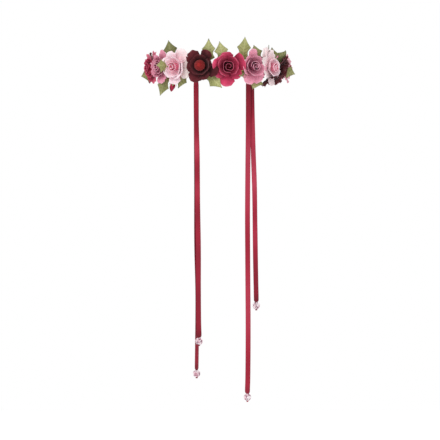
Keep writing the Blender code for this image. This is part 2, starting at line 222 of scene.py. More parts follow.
def paper_material(name, roughness=0.85, grain=900.0, crease=160.0, bump=0.35, sheen=0.0, through=0.0):
    """Painted, crumpled paper: fibres, creases and uneven dye."""
    material, tree, shader = start_material(name)
    place = object_place(tree)
    dye = mottle(tree, place, painted(tree), crease, 0.16)
    tree.links.new(mottle(tree, place, dye, grain, 0.07), shader.inputs["Base Color"])
    set_inputs(shader, {
        "Roughness": roughness, "Specular IOR Level": 0.18, "Sheen Weight": sheen, "Sheen Roughness": 0.5,
        "Subsurface Weight": through, "Subsurface Radius": (0.002, 0.0012, 0.0012), "Subsurface Scale": 0.6,
    })
    crumple = add_node(tree, "ShaderNodeTexNoise", Scale=crease * 2.2, Detail=6.0, Roughness=0.65)
    fibre = add_node(tree, "ShaderNodeTexNoise", Scale=grain * 1.6, Detail=2.0)
    both = add_node(tree, "ShaderNodeMath", operation="MULTIPLY_ADD")
    both.inputs[1].default_value = 0.25
    tree.links.new(place, crumple.inputs["Vector"])
    tree.links.new(place, fibre.inputs["Vector"])
    tree.links.new(fibre.outputs["Fac"], both.inputs[0])
    tree.links.new(crumple.outputs["Fac"], both.inputs[2])
    add_relief(tree, shader, both.outputs["Value"], bump, 0.0006)
    return material


def ribbon_material():
    """Satin: a fine weave across the ribbon and a soft lengthways gloss."""
    material, tree, shader = start_material("satin_ribbon")
    place = object_place(tree)
    tree.links.new(mottle(tree, place, painted(tree), 60.0, 0.06), shader.inputs["Base Color"])
    set_inputs(shader, {
        "Roughness": 0.42, "Specular IOR Level": 0.22, "Anisotropic": 0.5, "Sheen Weight": 0.08,
        "Sheen Roughness": 0.4, "Sheen Tint": (*srgb(236, 120, 146), 1.0),
    })
    weft = add_node(tree, "ShaderNodeTexWave", wave_type="BANDS", bands_direction="Z", Scale=900.0, Distortion=0.6)
    warp = add_node(tree, "ShaderNodeTexNoise", Scale=700.0, Detail=3.0)
    weave = add_node(tree, "ShaderNodeMath", operation="ADD")
    for i, thread in enumerate((weft, warp)):
        tree.links.new(place, thread.inputs["Vector"])
        tree.links.new(thread.outputs["Fac"], weave.inputs[i])
    add_relief(tree, shader, weave.outputs["Value"], 0.12, 0.0002)
    return material


def bead_material():
    """Pale pink cut glass whose facets carry painted reflections, some dark and some near white."""
    material, tree, shader = start_material("cut_glass")
    tree.links.new(mottle(tree, object_place(tree), painted(tree), 300.0, 0.12), shader.inputs["Base Color"])
    set_inputs(shader, {
        "Roughness": 0.05, "IOR": 1.56, "Transmission Weight": 0.25, "Coat Weight": 0.6, "Coat Roughness": 0.03,
    })
    return material


def wire_material():
    material, tree, shader = start_material("steel_wire")
    drawn = add_node(tree, "ShaderNodeTexNoise", Scale=1500.0, Detail=2.0)
    spread = add_node(tree, "ShaderNodeMapRange")
    set_inputs(spread, {"To Min": 0.28, "To Max": 0.5})
    tree.links.new(object_place(tree), drawn.inputs["Vector"])
    tree.links.new(drawn.outputs["Fac"], spread.inputs["Value"])
    tree.links.new(spread.outputs["Result"], shader.inputs["Roughness"])
    set_inputs(shader, {"Base Color": (0.45, 0.45, 0.44, 1.0), "Metallic": 1.0})
    return material


MATERIALS = {
    "burgundy": paper_material("burgundy_paper", crease=190.0, bump=0.5, sheen=0.12),
    "raspberry": paper_material("raspberry_paper", sheen=0.08, through=0.05),
    "mauve": paper_material("mauve_paper", sheen=0.08, through=0.08),
    "pale_pink": paper_material("pale_pink_paper", through=0.12),
    "leaf": paper_material("leaf_paper", crease=120.0, bump=0.3),
    "calyx": paper_material("calyx_paper", crease=220.0, bump=0.4),
    "tape": paper_material("floral_tape", roughness=0.7, crease=420.0, bump=0.6),
    "ribbon": ribbon_material(),
    "bead": bead_material(),
    "wire": wire_material(),
}


# ---- meshes made of painted grids ----


# Paint is laid on this much darker than its open colour, to sit in the even studio light.
PAINT_DEPTH = 0.96


class Grids:
    """Painted grids of points in mm, gathered into one mesh."""

    def __init__(self):
        self.points = []
        self.paints = []
        self.faces = []
        self.count = 0

    def add(self, grid, paint, around=False):
        """Adds a grid of rows and columns, whose last column joins the first if it goes around."""
        rows, columns = grid.shape[:2]
        self.points.append(grid.reshape(-1, 3))
        self.paints.append(np.broadcast_to(paint, grid.shape).reshape(-1, 3))
        steps = columns if around else columns - 1
        for i in range(rows - 1):
            low = self.count + i * columns
            high = low + columns
            for j in range(steps):
                k = (j + 1) % columns
                self.faces.append((low + j, low + k, high + k, high + j))
        self.count += rows * columns

    def cap(self, row_start, columns, flip=False):
        """Closes a ring of points, the columns that start at a point's number, with one face."""
        ring = [row_start + j for j in range(columns)]
        self.faces.append(ring[::-1] if flip else ring)

    def make(self, name, material, placing=None, thickness=0.0, smooth=1, replaces=(), body="crown"):
        """Makes the object, in metres, and lets it ride on a body."""
        points = np.concatenate(self.points) * MM
        data = bpy.data.meshes.new(name)
        data.from_pydata(points.tolist(), [], self.faces)
        paint = data.attributes.new("paint", "FLOAT_COLOR", "POINT")
        colours = np.concatenate(self.paints) * PAINT_DEPTH
        colours = np.concatenate([colours, np.ones((len(colours), 1))], axis=1)
        paint.data.foreach_set("color", colours.astype(np.float32).ravel())
        if placing is not None:
            data.transform(placing)
        data.materials.append(MATERIALS[material])
        data.shade_smooth()
        thing = show(name, data)
        if thickness:
            wall = thing.modifiers.new("thickness", "SOLIDIFY")
            wall.thickness = thickness * MM
            wall.offset = 0.0
        if smooth:
            soft = thing.modifiers.new("soft", "SUBSURF")
            soft.levels = smooth
            soft.render_levels = smooth
        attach(thing, body)
        if replaces:
            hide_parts(*replaces)
        return thing


def mix(first, second, share):
    """Blends colours or points by a share from 0 to 1."""
    share = np.clip(np.asarray(share), 0.0, 1.0)[..., None]
    return first * (1 - share) + second * share


def smoothstep(low, high, value):
    share = np.clip((value - low) / (high - low), 0.0, 1.0)
    return share * share * (3 - 2 * share)


def wander(grid, size, seed):
    """Smooth noise at each point of a grid, from about -1 to 1."""
    shift = Vector((seed * 3.17, seed * 1.31, seed * 2.03))
    flat = [noise.noise(Vector(p) / size + shift) for p in grid.reshape(-1, 3)]
    return np.array(flat).reshape(grid.shape[:2])


def turns_round(count):
    """Angles once round, as one row."""
    return np.linspace(0.0, 2 * math.pi, count + 1)[None, :-1]


def round_grid(radius, turn, height):
    """Points at a radius and a height for each turn about Z."""
    return np.stack(np.broadcast_arrays(radius * np.cos(turn), radius * np.sin(turn), height), axis=-1)


def show(name, data):
    thing = bpy.data.objects.new(name, data)
    bpy.context.scene.collection.objects.link(thing)
    return thing


def grid_normals(grid):
    down = np.gradient(grid, axis=0)
    over = np.gradient(grid, axis=1)
    normal = np.cross(down, over)
    return normal / np.maximum(np.linalg.norm(normal, axis=2, keepdims=True), 1e-9)


def band_frame(angle, radius=BAND_RADIUS):
    """A frame on the ring, in metres: its X along the band, its Y up and its Z outwards."""
    along = Vector((math.cos(angle), math.sin(angle), 0.0))
    up = Vector((0.0, 0.0, 1.0))
    out = along.cross(up)
    placing = Matrix((along, up, out)).transposed().to_4x4()
    placing.translation = radius * MM * out
    return placing


def node_points(name):
    """A CAD node's points in mm."""
    return np.array([v.co for v in nodes[name].data.vertices]) / MM


def node_angle(name):
    """The angle round the ring, from the front to +X, at which a node stands."""
    x, y, _ = node_points(name).mean(axis=0)
    return math.atan2(x, -y)


# ---- ribbon tails, knots and beads ----


def smooth_route(points, step):
    """A curve through the points, as places and turns about a step apart."""
    points = [np.array(p, float) for p in points]
    ends = [2 * points[0] - points[1], *points, 2 * points[-1] - points[-2]]
    route = []
    for before, start, stop, after in zip(ends, ends[1:], ends[2:], ends[3:]):
        steps = max(1, round(np.linalg.norm((stop - start)[:3]) / step))
        for i in range(steps):
            t = i / steps
            route.append(
                start
                + t * (stop - before) / 2
                + t * t * (before - 2.5 * start + 2 * stop - after / 2)
                + t * t * t * (3 * start - before - 3 * stop + after) / 2
            )
    return np.array([*route, points[-1]])


def ribbon_ring(centre, turn, width, thickness, bow=0.0, across=9):
    """A closed ring of points round a flat section, whose middle bows forward."""
    side = np.array((math.cos(turn), math.sin(turn), 0.0))
    back = np.array((-math.sin(turn), math.cos(turn), 0.0))
    share = np.linspace(-1.0, 1.0, across)
    ring = []
    for face, order in ((-1.0, share), (1.0, share[::-1])):
        for s in order:
            half = thickness / 2 * (1.0 - 0.55 * abs(s) ** 6)
            ring.append(centre + side * s * width / 2 + back * (face * half - bow * (1 - s * s)))
    return ring


# Ribbon colours: painted shade for the gathers and folds, the satin's face, its edges, and a painted highlight where
# the satin catches the light.
RIBBON_PAINTED_SHADE = srgb(96, 12, 28)
RIBBON_FACE = srgb(158, 24, 50)
RIBBON_EDGE = srgb(140, 22, 44)
RIBBON_PAINTED_HIGHLIGHT = srgb(224, 96, 122)


def make_tail(side, tail, knot):
    """A satin tail from the knot, gathered through the bead and knotted below it."""
    route = TAIL_ROUTES[tail]
    depth, twist, ripple, start = RIPPLES[tail]
    end = np.array(route[-1][:3])
    end_turn = math.radians(route[-1][3])
    gather = (*end[:2], end[2] + GATHER_LENGTH, route[-1][3])
    rings, centres = [], []
    curve = smooth_route([*route[:-1], gather], RIBBON_STEP)
    for i, (x, y, z, turn) in enumerate(curve):
        free = math.sin(math.pi * min(1.0, i / (len(curve) - 1))) ** 0.5
        phase = 2 * math.pi * z / ripple + start
        centre = knot + np.array((x, y + free * depth * math.sin(phase), z))
        angle = math.radians(turn + free * twist * math.sin(phase * 0.83 + 1.0))
        close = min(1.0, i * RIBBON_STEP / 9.0)
        width = RIBBON_WIDTH * (0.72 + 0.28 * close)
        rings.append(ribbon_ring(centre, angle, width, RIBBON_THICKNESS, 0.35 + 0.9 * (1 - close)))
        centres.append(centre)
    foot = -BEAD_HEIGHT + 0.6
    below = (
        (GATHER_LENGTH * 0.45, RIBBON_WIDTH * 0.97, 0.5, 0.5),
        (GATHER_LENGTH * 0.15, RIBBON_WIDTH * 0.86, 0.7, 1.0),
        (-0.2, RIBBON_WIDTH * 0.62, 0.9, 0.9),
        (-1.1, NECK_WIDTH * 1.3, NECK_THICKNESS, 0.0),
        (foot * 0.5, NECK_WIDTH, NECK_THICKNESS, 0.0),
        (foot, NECK_WIDTH, NECK_THICKNESS, 0.0),
        (foot - END_KNOT_LENGTH * 0.15, END_KNOT_WIDTH * 0.75, END_KNOT_WIDTH * 0.7, 0.0),
        (foot - END_KNOT_LENGTH * 0.4, END_KNOT_WIDTH * 0.8, END_KNOT_WIDTH * 0.75, 0.0),
        (foot - END_KNOT_LENGTH * 0.65, END_KNOT_WIDTH * 0.5, END_KNOT_WIDTH * 0.5, 0.0),
    )
    for drop, width, thickness, bow in below:
        centre = knot + end + np.array((0.0, 0.0, drop))
        rings.append(ribbon_ring(centre, end_turn, width, thickness, bow))
        centres.append(centre)
    grid = np.array(rings)
    count = grid.shape[1]
    edge = np.abs(np.linspace(-1.0, 1.0, count // 2))
    edge = np.concatenate([edge, edge])[None, :].repeat(len(rings), axis=0)
    paint = mix(RIBBON_FACE, RIBBON_EDGE, smoothstep(0.72, 1.0, edge))
    # Painted shade in the pleats where the ribbon gathers into the bead's neck.
    gather_shade = smoothstep(1.0, 0.0, np.abs(np.arange(len(rings)) - (len(curve) + 1)) / 6.0)[:, None]
    paint = mix(paint, RIBBON_PAINTED_SHADE, gather_shade * 0.5 * np.ones_like(edge))
    # Painted shade and painted highlight down the tail, with lighter and darker bands along each ripple; where the
    # tone passes 0.92 it mixes in the painted highlight.
    drops, tones = zip(*TAIL_PAINTED_SHADE_AND_HIGHLIGHT[tail])
    _, _, ripple, start = RIPPLES[tail]
    waves = np.sin(2 * math.pi * grid[..., 2] / ripple + start)
    tone = np.interp(-grid[..., 2], drops, tones) * (1.0 + 0.10 * waves)
    paint = mix(paint * np.minimum(tone, 1.0)[..., None], RIBBON_PAINTED_HIGHLIGHT, 0.9 * (tone - 0.92))
    tail_mesh = Grids()
    tail_mesh.add(grid, paint, around=True)
    tail_mesh.cap(0, count, flip=True)
    tail_mesh.cap((len(rings) - 1) * count, count)
    piece = tail_mesh.make(f"{tail}_satin", "ribbon", smooth=0, replaces=[tail], body=f"{side}_streamers")
    bead = make_bead(tail.replace("tail", "bead"))


# A bead's rows of corners, from the top: share of its radius and of its half height.
BEAD_PROFILE = ((0.42, 1.0), (0.74, 0.78), (0.97, 0.34), (0.97, -0.34), (0.74, -0.78), (0.42, -1.0))
# The glass's own pinks, and painted reflections on its facets: dark mauve and near white.
BEAD_GLASS_AND_PAINTED_REFLECTIONS = (srgb(236, 204, 212), srgb(206, 146, 164), srgb(140, 96, 116), srgb(252, 240, 244))


def make_bead(node):
    """A cut glass bead on its bore, with staggered rows of facets."""
    low, high = node_points(node).min(axis=0), node_points(node).max(axis=0)
    centre = (low + high) / 2
    half = BEAD_HEIGHT / 2 - 0.6
    step = 2 * math.pi / BEAD_SIDES
    turns = np.arange(BEAD_SIDES) * step
    rings = [round_grid(BEAD_RADIUS * share, turns + step / 2 * (i % 2), half * height)
             for i, (share, height) in enumerate(BEAD_PROFILE)]
    rings += [round_grid(BEAD_BORE, turns + step / 2, half * height) for height in (-0.97, 0.97)]
    points = np.concatenate(rings) + centre
    faces = []
    for i in range(len(rings)):
        a, b = i * BEAD_SIDES, (i + 1) % len(rings) * BEAD_SIDES
        for j in range(BEAD_SIDES):
            k = (j + 1) % BEAD_SIDES
            if i in (5, 6):
                faces.append((a + j, b + j, b + k, a + k))
            elif i % 2:
                faces += [(a + j, b + k, a + k), (a + j, b + j, b + k)]
            else:
                faces += [(a + j, b + j, a + k), (a + k, b + j, b + k)]
    luck = random.Random(len(node) + int(centre[2]))
    data = bpy.data.meshes.new(f"{node}_glass")
    data.from_pydata((points * MM).tolist(), [], faces)
    paint = data.attributes.new("paint", "FLOAT_COLOR", "FACE")
    # Each facet takes one of these at random: the glass's own pink or a painted reflection.
    for i in range(len(data.polygons)):
        paint.data[i].color = (*luck.choice(BEAD_GLASS_AND_PAINTED_REFLECTIONS), 1.0)
    data.materials.append(MATERIALS["bead"])
    thing = show(f"{node}_glass", data)
    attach(thing, node)
    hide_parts(node)
    return thing


def make_knot(side):
    """The ribbon's loop round the band and the small folded knot under it."""
    node = f"{side}_ribbon_knot"
    low, high = node_points(node).min(axis=0), node_points(node).max(axis=0)
    middle = np.array(((low[0] + high[0]) / 2, (low[1] + high[1]) / 2, 0.0))
    radius = (high[1] - low[1]) / 2 - 0.5
    knot = Grids()
    turns = turns_round(40)[0]
    for lift, shift, slant in ((-0.55, -1.3, 0.5), (0.0, 1.3, -0.6), (0.45, 0.1, 0.9)):
        ring_rows = []
        for s in np.linspace(-1.0, 1.0, 7):
            swell = radius + lift + 0.25 * (1 - s * s)
            x = shift + s * 2.3 + slant * np.sin(turns)
            ring_rows.append(np.stack([x, swell * np.cos(turns), swell * np.sin(turns)], 1))
        grid = np.array(ring_rows) + middle
        share = np.abs(np.linspace(-1, 1, 7))[:, None] * np.ones((1, len(turns)))
        knot.add(grid, mix(RIBBON_FACE, RIBBON_EDGE, smoothstep(0.6, 1.0, share)), around=True)
    knot.make(f"{node}_loop", "ribbon", thickness=RIBBON_THICKNESS, replaces=[node], body=f"{side}_streamers")
    lump = Grids()
    half = np.array(((high[0] - low[0]) / 2, KNOT_DEPTH / 2 + 0.3, (KNOT_DROP - radius) / 2 + 0.9))
    centre = middle + np.array((0.0, 0.0, -(KNOT_DROP + radius) / 2 + 0.5))
    rows, columns = 20, 36
    polar = math.pi * np.linspace(0.02, 0.98, rows)[:, None]
    turns = turns_round(columns)
    flat = np.abs(np.cos(turns)) ** 0.75 * np.sign(np.cos(turns))
    deep = np.abs(np.sin(turns)) ** 0.75 * np.sign(np.sin(turns))
    fold = 0.09 * np.sin(3 * turns + 5.5 * polar)
    size = np.sin(polar) ** 0.6 * (1.0 + fold)
    grid = half * np.stack([flat * size, deep * size, np.cos(polar) + 0 * turns], axis=2) + centre
    # Painted shade over the knot, deepest in its folds.
    lump.add(grid, mix(RIBBON_FACE, RIBBON_PAINTED_SHADE, 0.5 - 5.0 * fold), around=True)
    lump.cap(0, columns, flip=True)
    lump.cap((rows - 1) * columns, columns)
    lump.make(f"{node}_fold", "ribbon", body=f"{side}_streamers")
    return middle


def make_ribbons():
    for side, tails in PAIRS.items():
        knot = make_knot(side)
        for tail in tails:
            make_tail(side, tail, knot)


make_ribbons()


# ---- band ----


def make_band():
    """Floral tape wound round the wire in a steep overlapping spiral."""
    nodes["band_wire"].data.materials.clear()
    nodes["band_wire"].data.materials.append(MATERIALS["wire"])
    stations, sides, winds = 720, 14, 96
    tape = Grids()
    round_turn = turns_round(sides)[0]
    rows, shades = [], []
    for angle in turns_round(stations)[0]:
        here = np.array(band_frame(angle))
        wind = (angle / (2 * math.pi) * winds + round_turn / (2 * math.pi)) % 1.0
        crumple = np.array([noise.noise(Vector((math.cos(angle) * 40, math.sin(angle) * 40, t * 2)))
                            for t in round_turn])
        radius = TAPE_RADIUS - 0.28 + 0.42 * wind + 0.14 * crumple
        ring = here[:3, 3] / MM + here[None, :3, 2] * (radius * np.cos(round_turn))[:, None]
        ring[:, 2] += radius * np.sin(round_turn)
        rows.append(ring)
        shades.append(wind)
    rows.append(rows[0])
    shades.append(shades[0])
    paint = mix(srgb(98, 104, 46), srgb(146, 150, 84), np.array(shades))
    tape.add(np.array(rows), paint, around=True)
    tape.make("band_tape_wound", "tape", smooth=0, replaces=["band_tape"])


make_band()


# ---- roses ----


def petal(azimuth, reach, width, rise, foot=2.5, sit=1.5, cup=0.5, roll=2.0, ruffle=0.6, waves=2.0, wrap=0.7,
          point=0.0, teeth=0.0, seed=0, rows=15, columns=19):
    """One petal in the rose's frame, in mm: X along the band, Y up and Z outwards, with its azimuth clockwise from
    the top. Returns its grid and how far along the petal each point is."""
    v = np.linspace(0.0, 1.0, rows)[:, None]
    u = np.linspace(-1.0, 1.0, columns)[None, :]
    tooth = np.abs(((u * 2.6 + seed * 0.37) % 1.0) - 0.5) * 2
    tip = 1.0 - 0.10 * u ** 2 - 0.26 * u ** 4 + point * (0.45 - np.abs(u)) - teeth * tooth
    t = v * tip
    span = reach - foot
    k = t[..., None]
    start, stop = np.array((foot, sit)), np.array((reach, sit + rise))
    low = np.array((foot + span * (0.35 + 0.5 * cup), sit + rise * 0.30 * (1 - cup)))
    high = np.array((foot + span * (0.72 + 0.36 * cup), sit + rise * (0.68 - 0.25 * cup)))
    curve = start * (1 - k) ** 3 + 3 * low * k * (1 - k) ** 2 + 3 * high * k * k * (1 - k) + stop * k ** 3
    radial, height = curve[..., 0], curve[..., 1]
    lateral = u * width / 2 * (0.30 + 0.70 * np.sin(math.pi / 2 * np.minimum(1.0, t / 0.6)))
    turn = lateral * wrap / np.maximum(radial, 0.45 * reach)
    side = radial * np.sin(turn) + lateral * (1 - wrap)
    out = radial * np.cos(turn)
    curl = smoothstep(0.70, 1.02, np.maximum(t, np.abs(u) ** 1.5 * smoothstep(0.25, 0.7, t) * 0.97))
    out = out + roll * curl * (1 - 0.3 * np.abs(u))
    side = side + u * roll * 0.45 * curl
    height = height - roll * 0.75 * curl * curl
    grid = np.stack([side, out, height], axis=2)
    ripple = ruffle * t ** 2 * np.sin(waves * math.pi * u + seed * 1.7) + 0.45 * wander(grid, 4.5, seed) * (0.3 + t)
    grid = grid + grid_normals(grid) * ripple[..., None]
    angle = math.radians(azimuth)
    outward = np.array((math.sin(angle), math.cos(angle), 0.0))
    across = np.array((math.cos(angle), -math.sin(angle), 0.0))
    return grid[..., 0:1] * across + grid[..., 1:2] * outward + grid[..., 2:3] * np.array((0.0, 0.0, 1.0)), t


def paint_petal(colours, t, u_edge, tone):
    """Darkens towards the foot, as painted shade down in the folds, and lightens at the rim."""
    deep, face, rim = colours[:3]
    paint = mix(deep, face, smoothstep(0.15, 0.80, t))
    paint = mix(paint, rim, 0.8 * smoothstep(0.88, 1.0, np.maximum(t, u_edge)))
    return paint * tone


def add_petal(grids, colours, tone=1.0, blend=None, share=0.0, **shape):
    grid, t = petal(**shape)
    edge = np.abs(np.linspace(-1.0, 1.0, grid.shape[1]))[None, :] * smoothstep(0.3, 0.8, t)
    paint = paint_petal(colours, t, edge, tone)
    if blend is not None:
        paint = mix(paint, blend, share * (0.6 + 0.4 * smoothstep(0.1, 0.7, t)))
    grids.add(grid, paint)


def add_swirl(grids, colours, turns=2.2, inner=0.7, outer=5.4, foot=3.0, top=14.5, drop=2.4, flare=1.4, start=0.0,
              square=0.0, seed=0):
    """The rolled middle: a strip wound in a spiral about a closed core, its upper edge opening outwards."""
    steps, rows = int(30 * turns), 9
    s = np.linspace(0.0, 1.0, steps)[None, :]
    v = np.linspace(0.0, 1.0, rows)[:, None]
    angle = math.radians(start) + turns * 2 * math.pi * s
    radius = (inner + (outer - inner) * s ** 0.85) * (1 - square * np.cos(4 * angle) * s)
    crest = top - drop * s + 0.6 * np.sin(2.7 * angle + seed) * (0.2 + s)
    height = foot + (crest - foot) * v
    spread = radius + flare * v ** 3 * (0.2 + 0.8 * s) + 0.45 * np.sin(2.3 * angle + seed) * s * v
    grid = round_grid(spread, angle, height)
    grid = grid + 0.3 * wander(grid, 3.0, seed)[..., None]
    shade = v + 0 * s
    paint = mix(colours[0], colours[1], smoothstep(0.45, 0.98, shade))
    grids.add(grid, mix(paint, colours[2], 0.85 * smoothstep(0.88, 1.0, shade)))
    # The closed core takes the darkest colour all over, as painted shade down in the middle of the roll.
    core_radius = np.array((0.05, 1.2, 3.2, 4.6, 4.8))[:, None]
    core_height = np.array((top - 4.5, top - 4.8, top - 5.6, top - 7.5, foot))[:, None]
    grids.add(round_grid(core_radius, turns_round(24), core_height), colours[0], around=True)


def add_pompon(grids, colours, radius=6.9, foot=5.0, top=14.5, pleats=26):
    """A tight domed bud with pleats that run in to its crown."""
    polar = np.linspace(0.02, 1.0, 14)[:, None] * math.pi * 0.62
    turn = turns_round(pleats * 6)
    groove = np.cos(pleats * turn + 2.2 * polar)
    depth = 0.36 * smoothstep(0.1, 0.7, polar)
    size = radius * np.sin(polar) + depth * groove
    height = foot + (top - foot) * (0.35 + 0.65 * np.cos(polar)) + 0.2 * groove * smoothstep(0.1, 0.6, polar)
    grid = round_grid(size, turn, height)
    # Painted shade in the grooves between the pleats; lighter towards the crown.
    paint = mix(colours[0], colours[1], 0.5 + 0.5 * groove * smoothstep(0.0, 0.5, polar) + 0.25)
    paint = mix(paint, colours[2], 0.4 * smoothstep(0.5, 0.0, polar) + 0 * turn)
    grids.add(grid, paint, around=True)


def rose_placing(name):
    """A rose's frame, on its calyx, moved along the band and tilted about its foot."""
    right, up, along = ROSE_TILTS[name]
    placing = band_frame(node_angle(f"{name}_bud"), ROSE_FOOT) @ Matrix.Translation((along * MM, 0.0, 0.0))
    return placing @ Matrix.Rotation(math.radians(right), 4, "Y") @ Matrix.Rotation(math.radians(-up), 4, "X")


# Outer petals of the roses that show, from the back to the front of each rose: azimuth, reach, width, rise, cup, roll,
# ruffle, teeth, tone and, where the petal has faded, how far. The tone darkens or lightens a whole petal and is partly
# painted shade and painted light.
OUTER_PETALS = {
    "rose_02": (
        (15, 21.5, 17, 2, 0.3, 1.5, 2, 0.2, 0.86, 0.25), (65, 17, 13, 4, 0.3, 2, 1.8, 0.2, 0.73),
        (115, 17, 14, 4, 0.4, 2, 1.8, 0.18, 0.77), (168, 20, 15, 3, 0.3, 2, 1.8, 0.2, 0.9, 0.1),
        (208, 19, 14, 4, 0.3, 2, 1.8, 0.2, 0.77), (250, 16, 13, 6, 0.4, 2, 1.8, 0.2, 0.73),
        (295, 16, 13, 6, 0.4, 2, 1.8, 0.2, 0.86, 0.15), (335, 19, 13, 5, 0.4, 2, 1.8, 0.2, 0.9, 0.25),
    ),
    "rose_03": (
        (5, 20.5, 17, 2, 0.3, 2.4, 1.6, 0.1, 0.97, 0.1), (55, 17, 14, 4, 0.3, 2.4, 1.6, 0.1, 0.9),
        (115, 15, 14, 4, 0.4, 2.6, 1.6, 0.1, 0.95), (172, 18, 17, 6, 0.5, 3.6, 1, 0.05, 0.99, 0.1),
        (236, 15, 14, 6, 0.4, 2.4, 1.6, 0.1, 0.85), (282, 15, 12, 7, 0.4, 2.4, 1.6, 0.12, 0.95, 0.1),
        (325, 16, 13, 6, 0.4, 2.4, 1.6, 0.12, 0.9),
    ),
    "rose_04": (
        (78, 21, 20, 1, 0.2, 2, 0.9, 0, 0.92, 0.75), (118, 20, 18, 1, 0.2, 2.2, 0.9, 0, 0.86, 0.85),
        (34, 22.5, 19, 3, 0.6, 3.4, 0.5, 0, 0.98, 0.45), (340, 18.5, 15, 6, 0.4, 2.6, 0.7, 0, 0.95, 0.1),
        (186, 19.5, 17, 5, 0.5, 3, 0.7, 0, 0.98), (236, 14.5, 16, 8, 0.5, 2, 0.5, 0, 0.96),
        (92, 13.5, 17, 9, 0.6, 2.2, 0.5, 0, 1.0, 0.1), (150, 13.5, 16, 9, 0.6, 2.2, 0.5, 0, 0.98),
        (290, 16, 18, 8, 0.6, 2.4, 0.5, 0, 1.04, 0.1),
    ),
    "rose_05": (
        (318, 21.5, 19, 4, 0.3, 2.4, 0.9, 0.03, 1.05), (26, 19.5, 15, 7, 0.7, 2.6, 1.4, 0.04, 1.0),
        (72, 13.5, 13, 6, 0.5, 2, 1, 0.04, 0.8), (110, 22, 17, 4, 0.4, 2.4, 1, 0.03, 0.7),
        (156, 17, 15, 6, 0.4, 2.4, 0.9, 0.03, 0.8), (206, 20, 18, 4, 0.3, 2.8, 0.8, 0.03, 1.08),
        (264, 15.5, 16, 6, 0.4, 2.4, 0.9, 0.03, 0.85),
    ),
    "rose_06": (
        (352, 16, 17, 2, 0.4, 2.6, 0.5, 0, 0.92), (184, 22.5, 19, 2, 0.3, 3.4, 0.5, 0, 1.1),
        (280, 17.5, 17, 5, 0.4, 3.2, 0.6, 0, 1.05), (234, 17.5, 14, 4, 0.4, 3, 0.6, 0, 0.85),
        (322, 14.5, 14, 6, 0.5, 2.6, 0.5, 0, 0.9), (132, 18, 15, 4, 0.4, 2.8, 0.6, 0, 0.92),
        (70, 19.5, 23, 9, 0.95, 2.6, 0.4, 0, 1.0),
    ),
    "rose_07": (
        (10, 21.5, 13, 2, 0.3, 1.6, 0.6, 0, 1.17, 0.2), (62, 16.5, 16, 4, 0.4, 2.6, 0.6, 0, 0.95),
        (104, 20, 21, 4, 0.4, 3, 0.5, 0, 1.09), (150, 20, 19, 4, 0.4, 3, 0.6, 0, 1.06),
        (198, 20.5, 18, 4, 0.4, 3, 0.6, 0, 1.14, 0.1), (250, 14, 15, 7, 0.5, 2.4, 0.5, 0, 1.02),
        (308, 14, 15, 8, 0.5, 2.4, 0.5, 0, 1.06),
    ),
    "rose_08": (
        (336, 26, 19, 1, 0.2, 1.2, 1, 0.08, 1.06, 0.55), (12, 21.5, 16, 3, 0.3, 1.6, 1, 0.1, 1.04, 0.45),
        (66, 14.5, 15, 5, 0.4, 1.4, 1, 0.1, 1.0, 0.2), (122, 16.5, 15, 5, 0.4, 1.6, 1, 0.1, 1.0, 0.2),
        (176, 23.5, 14, 3, 0.3, 1.6, 1, 0.1, 1.04, 0.45), (232, 16.5, 17, 3, 0.3, 1.8, 1, 0.08, 1.04, 0.5),
        (288, 19.5, 22, 2, 0.3, 1.6, 1.2, 0.1, 1.04, 0.6),
    ),
    "rose_09": (
        (10, 17, 16, 4, 0.3, 2, 1.8, 0.16, 0.98), (65, 17, 16, 4, 0.3, 2, 1.8, 0.16, 1.03),
        (120, 18, 16, 4, 0.3, 2, 1.8, 0.16, 1.09), (172, 19, 17, 3, 0.3, 2.2, 1.8, 0.16, 1.21),
        (224, 20, 17, 3, 0.3, 2.2, 1.8, 0.16, 1.09), (270, 19, 16, 4, 0.3, 2.2, 1.8, 0.16, 1.21),
        (318, 17, 15, 6, 0.4, 2, 1.8, 0.16, 1.03),
    ),
    "rose_10": (
        (0, 17, 15, 9, 0.4, 2, 1.2, 0.08, 1.05, 0.85), (60, 16, 15, 9, 0.4, 2, 1.2, 0.08, 1.0, 0.75),
        (120, 16, 15, 9, 0.4, 2, 1.2, 0.08, 1.0, 0.75), (180, 17, 15, 9, 0.4, 2, 1.2, 0.08, 1.05, 0.85),
        (240, 17, 15, 10, 0.4, 2.4, 1.2, 0.08, 1.1, 0.95), (300, 17, 15, 10, 0.4, 2.4, 1.2, 0.08, 1.1, 0.95),
    ),
}


def outer_petals(name, seed):
    """A rose's outer petals, listed one by one where it shows."""
    luck = random.Random(seed)
    if name in OUTER_PETALS:
        keys = ("azimuth", "reach", "width", "rise", "cup", "roll", "ruffle", "teeth", "tone", "share")
        return [{"share": 0.0, **dict(zip(keys, row)), "sit": 0.8 + 0.25 * i, "wrap": 0.5, "seed": seed + i}
                for i, row in enumerate(OUTER_PETALS[name])]
    turn = luck.uniform(0, 72)
    return [dict(azimuth=turn + i * 60 + luck.uniform(-9, 9), reach=luck.uniform(16.5, 19.5),
                 width=luck.uniform(16, 20), rise=luck.uniform(3.0, 7.0), cup=luck.uniform(0.3, 0.5),
                 roll=luck.uniform(2.0, 3.2), ruffle=luck.uniform(0.9, 1.5), teeth=luck.uniform(0.04, 0.1),
                 tone=luck.uniform(0.88, 1.08), share=0.0, sit=0.8 + 0.25 * i, wrap=0.5, seed=seed + i)
            for i in range(6)]


# How the inner petals of a rose stand: turn of the first in degrees, count, reach, rise, teeth and rings.
INNER_RINGS = {
    "rose_02": (30, 5, 12.0, 9.0, 0.20, 2), "rose_03": (10, 5, 12.0, 9.5, 0.14, 2),
    "rose_04": (20, 4, 11.5, 11.0, 0.0, 1), "rose_05": (0, 5, 11.5, 8.5, 0.03, 1),
    "rose_06": (38, 4, 12.0, 10.0, 0.0, 1), "rose_07": (20, 4, 11.5, 10.5, 0.0, 1),
    "rose_08": (0, 5, 10.5, 9.0, 0.07, 1), "rose_09": (0, 6, 11.0, 6.0, 0.16, 2),
}


